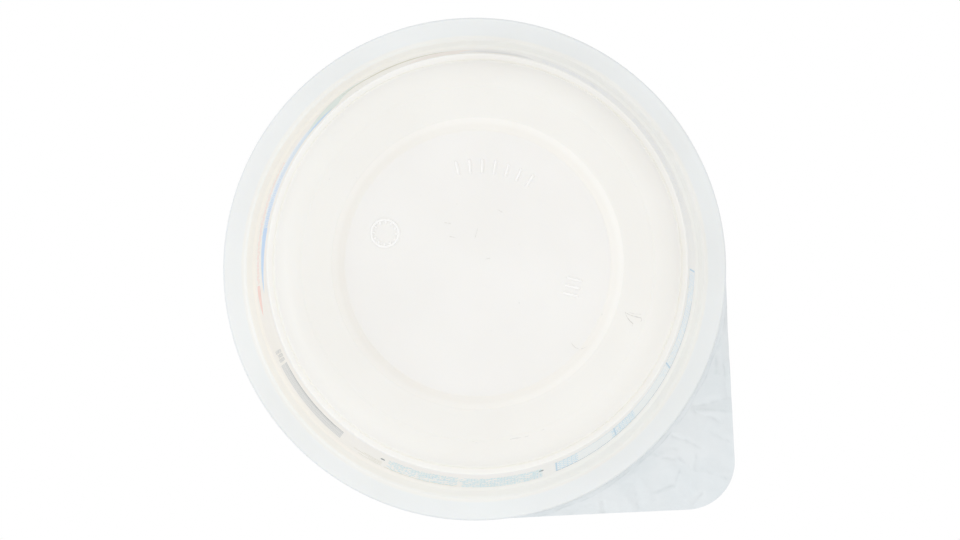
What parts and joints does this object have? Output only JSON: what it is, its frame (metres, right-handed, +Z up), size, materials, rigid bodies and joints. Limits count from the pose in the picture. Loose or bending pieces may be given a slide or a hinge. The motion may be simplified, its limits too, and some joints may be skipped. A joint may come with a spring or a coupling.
{
  "type": "cottage cheese tub",
  "caption": "Round flanged plastic dairy cup with a drafted wall and recessed base, shut by a flat foil lid with a pull corner.",
  "frame": {"origin": "on the cup's axis, in the plane that its foot ring stands on", "axes": "+Z up along the cup's axis, from the base towards the foil lid; the lid's pull corner points to 42.3 degrees from +X towards +Y"},
  "size_m": [0.0966, 0.095, 0.0531],
  "materials": {
    "cup_plastic": "satin",
    "lid_foil": "satin",
    "wall_ink": "satin"
  },
  "bodies": {
    "root": {"tub": "cup_plastic", "foil_lid": "lid_foil"}
  },
  "joints": []
}
